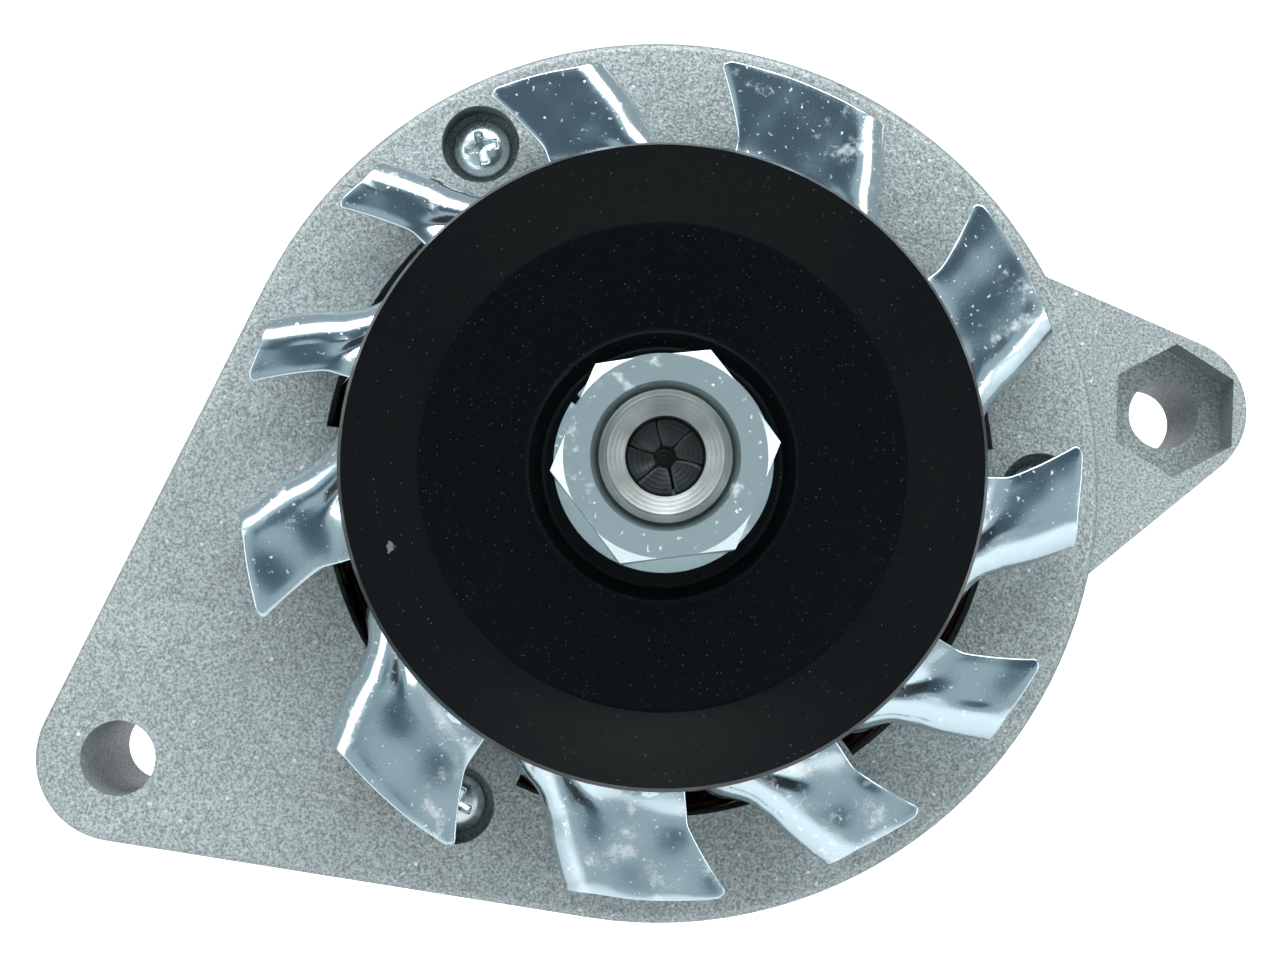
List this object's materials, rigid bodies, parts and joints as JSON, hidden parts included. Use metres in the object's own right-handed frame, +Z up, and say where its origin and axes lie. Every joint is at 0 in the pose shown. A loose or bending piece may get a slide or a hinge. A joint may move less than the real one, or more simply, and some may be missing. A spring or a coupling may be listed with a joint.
{
  "type": "car alternator",
  "caption": "Claw-pole alternator with a single V-belt pulley, outside stamped fan, cast frame with long pivot ear and short adjuster ear, regulator and terminals at the back.",
  "frame": {"origin": "on the shaft axis, in the middle plane of the belt groove", "axes": "+Y along the shaft from the pulley to the slip-ring end, +Z up, +X toward the adjuster ear"},
  "size_m": [0.17, 0.1685, 0.124],
  "materials": {
    "cast_housing": "shot-blasted die casting, fine grain",
    "zinc_plate": "blue-passivated zinc plating",
    "black_paint": "gloss black paint",
    "turned_steel": "bare turned steel",
    "bearing_steel": "polished bearing steel",
    "pole_steel": "forged low-carbon steel, phosphated",
    "core_steel": "stamped electrical sheet, thin varnish",
    "winding_copper": "enamelled copper wire, varnished",
    "slip_copper": "turned copper",
    "phenolic": "moulded phenolic",
    "insulation": "insulating paper and nylon",
    "black_plastic": "moulded black plastic",
    "plate_aluminium": "stamped aluminium plate",
    "brass_parts": "brass, tinned in places",
    "carbon": "copper-graphite brush",
    "spring_steel": "spring wire",
    "cage_steel": "pressed steel cage",
    "sleeve_plastic": "toleranced plastic sleeve"
  },
  "bodies": {
    "frame": {"drive_end_frame": "cast_housing", "slip_ring_end_frame": "cast_housing", "through_screws": "zinc_plate", "retainer_screws": "zinc_plate", "regulator_screws": "zinc_plate", "capacitor_screw": "zinc_plate", "plate_screws": "zinc_plate", "capacitor_clip": "zinc_plate", "bearing_retainer": "zinc_plate", "battery_stud": "brass_parts", "battery_stud_nut": "zinc_plate", "front_bearing_outer_race": "bearing_steel", "front_bearing_shields": "cage_steel", "rear_bearing_outer_race": "bearing_steel", "rear_bearing_sleeve": "sleeve_plastic", "stator_core": "core_steel", "slot_liners": "insulation", "stator_winding": "winding_copper", "positive_plate": "plate_aluminium", "negative_plate": "plate_aluminium", "positive_diodes": "brass_parts", "negative_diodes": "brass_parts", "exciter_board": "phenolic", "exciter_diodes": "black_plastic", "plate_insulators": "insulation", "battery_stud_bush": "phenolic", "terminal_bushes": "phenolic", "field_terminal": "brass_parts", "phase_terminal": "brass_parts", "regulator_plate": "plate_aluminium", "regulator_cover": "black_plastic", "brush_holder": "black_plastic", "front_brush_spring": "spring_steel", "rear_brush_spring": "spring_steel", "capacitor": "plate_aluminium"},
    "rotor": {"rotor_shaft": "turned_steel", "rotor_core": "pole_steel", "front_claw_pole": "pole_steel", "rear_claw_pole": "pole_steel", "coil_bobbin": "insulation", "field_coil": "winding_copper", "slip_ring_sleeve": "phenolic", "slip_rings": "slip_copper", "front_bearing_inner_race": "bearing_steel", "rear_bearing_inner_race": "bearing_steel", "woodruff_key": "turned_steel", "bearing_spacer": "turned_steel", "fan": "zinc_plate", "pulley_spacer": "turned_steel", "pulley_rear_half": "black_paint", "pulley_front_half": "black_paint", "clamp_washer": "zinc_plate", "lock_washer": "zinc_plate", "shaft_nut": "zinc_plate"},
    "front_ball_set": {"front_bearing_balls": "bearing_steel", "front_bearing_cage": "cage_steel"},
    "rear_ball_set": {"rear_bearing_balls": "bearing_steel", "rear_bearing_cage": "cage_steel"},
    "front_brush": {"front_brush": "carbon"},
    "rear_brush": {"rear_brush": "carbon"}
  },
  "joints": [
    {"name": "rotor_spin", "type": "hinge", "parent": "frame", "child": "rotor", "pos_m": [0, 0.06, 0], "axis": [0, 1, 0], "continuous": true},
    {"name": "front_ball_spin", "type": "hinge", "parent": "frame", "child": "front_ball_set", "pos_m": [0, 0.034, 0], "axis": [0, 1, 0], "continuous": true},
    {"name": "rear_ball_spin", "type": "hinge", "parent": "frame", "child": "rear_ball_set", "pos_m": [0, 0.117, 0], "axis": [0, 1, 0], "continuous": true},
    {"name": "front_brush_slide", "type": "slide", "parent": "frame", "child": "front_brush", "axis": [0, 0, -1], "range_m": [0, 0.004], "stiffness_N_per_m": 300, "springref_m": -0.01, "deforming": ["front_brush_spring"]},
    {"name": "rear_brush_slide", "type": "slide", "parent": "frame", "child": "rear_brush", "axis": [0, 0, -1], "range_m": [0, 0.004], "stiffness_N_per_m": 300, "springref_m": -0.01, "deforming": ["rear_brush_spring"]}
  ],
  "couplings": [
    {"joint": "front_ball_spin", "follows": "rotor_spin", "ratio": 0.3807},
    {"joint": "rear_ball_spin", "follows": "rotor_spin", "ratio": 0.3682}
  ]
}
